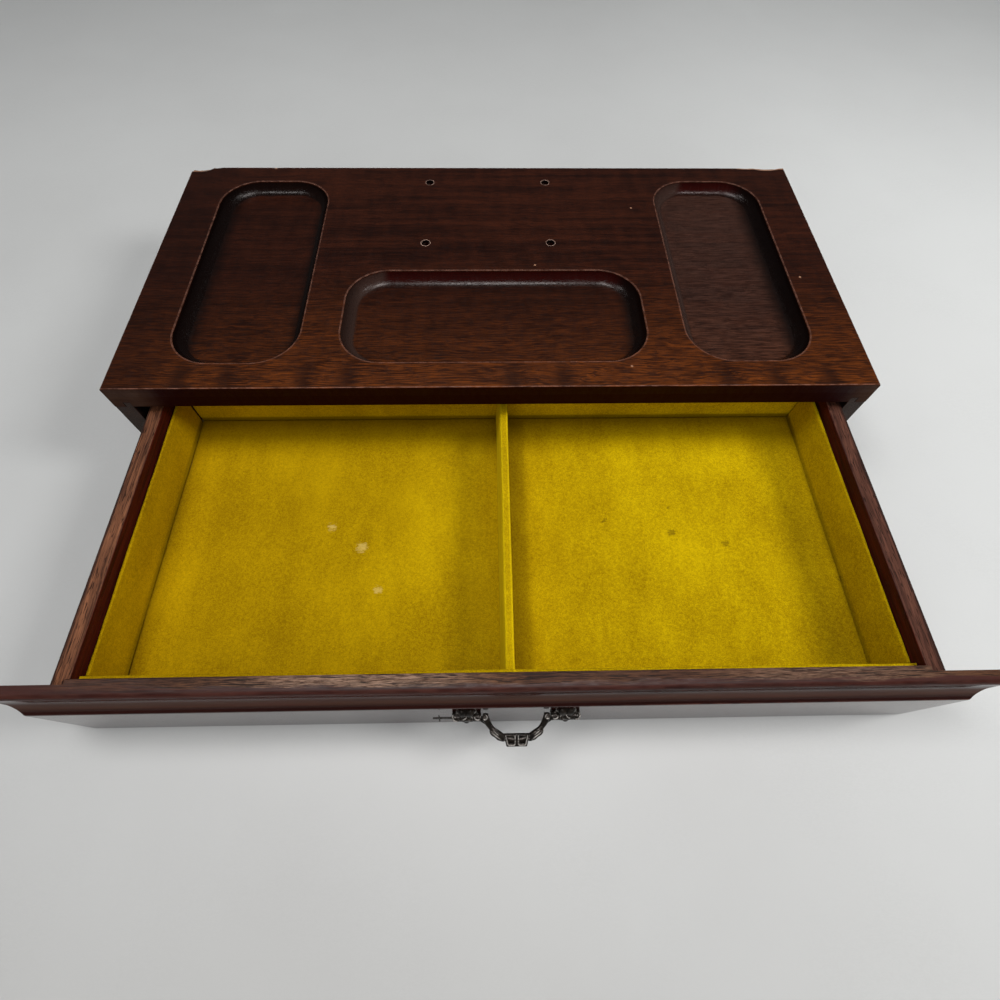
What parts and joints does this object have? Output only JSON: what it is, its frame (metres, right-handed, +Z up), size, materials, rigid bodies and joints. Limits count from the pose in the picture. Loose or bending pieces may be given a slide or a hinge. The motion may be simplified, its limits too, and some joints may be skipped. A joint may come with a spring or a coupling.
{
  "type": "valet box",
  "caption": "Flat wooden valet box with carved trays in its top and a velvet-lined drawer behind a moulded front with a small cast bail pull.",
  "frame": {"origin": "centre of the case's underside, on the surface it stands on", "axes": "+X to the right as seen from the drawer front, +Y towards the back, +Z up"},
  "size_m": [0.457, 0.3845, 0.08],
  "materials": {
    "top_wood": "dark red-brown mahogany stain, satin lacquer",
    "case_wood": "very dark stained wood, satin lacquer",
    "front_wood": "deep wine-red stain under gloss lacquer, worn along the top edge",
    "drawer_wood": "open-grained brown wood, stained wine red on the inner faces",
    "plywood": "raw plywood",
    "velvet": "mustard-gold velvet over card",
    "antique_bronze": "cast bronze with a dark patina, rubbed bright on the high spots",
    "steel": "plain steel"
  },
  "bodies": {
    "case": {"top_board": "top_wood", "case_side_left": "case_wood", "case_side_right": "case_wood", "case_back": "case_wood", "case_bottom": "case_wood", "kicker_left": "drawer_wood", "kicker_right": "drawer_wood", "case_back_brads": "steel", "case_bottom_brads": "steel"},
    "drawer": {"drawer_front": "front_wood", "drawer_side_left": "drawer_wood", "drawer_side_right": "drawer_wood", "drawer_back": "drawer_wood", "drawer_bottom": "plywood", "drawer_brads": "steel", "lining_front": "velvet", "lining_back": "velvet", "lining_side_left": "velvet", "lining_side_right": "velvet", "lining_floor_left": "velvet", "lining_floor_right": "velvet", "divider_board": "plywood", "divider_cover": "velvet", "handle_post_left": "antique_bronze", "handle_post_right": "antique_bronze", "pivot_pin_left": "antique_bronze", "pivot_pin_right": "antique_bronze", "handle_screws": "steel"},
    "bail": {"bail": "antique_bronze"}
  },
  "joints": [
    {"name": "drawer_slide", "type": "slide", "parent": "case", "child": "drawer", "axis": [0, -1, 0], "range_m": [-0.1517, 0.02]},
    {"name": "bail_hinge", "type": "hinge", "parent": "drawer", "child": "bail", "pos_m": [0.0078, -0.2687, 0.04], "axis": [-1, 0, 0], "range_deg": [0, 80]}
  ]
}
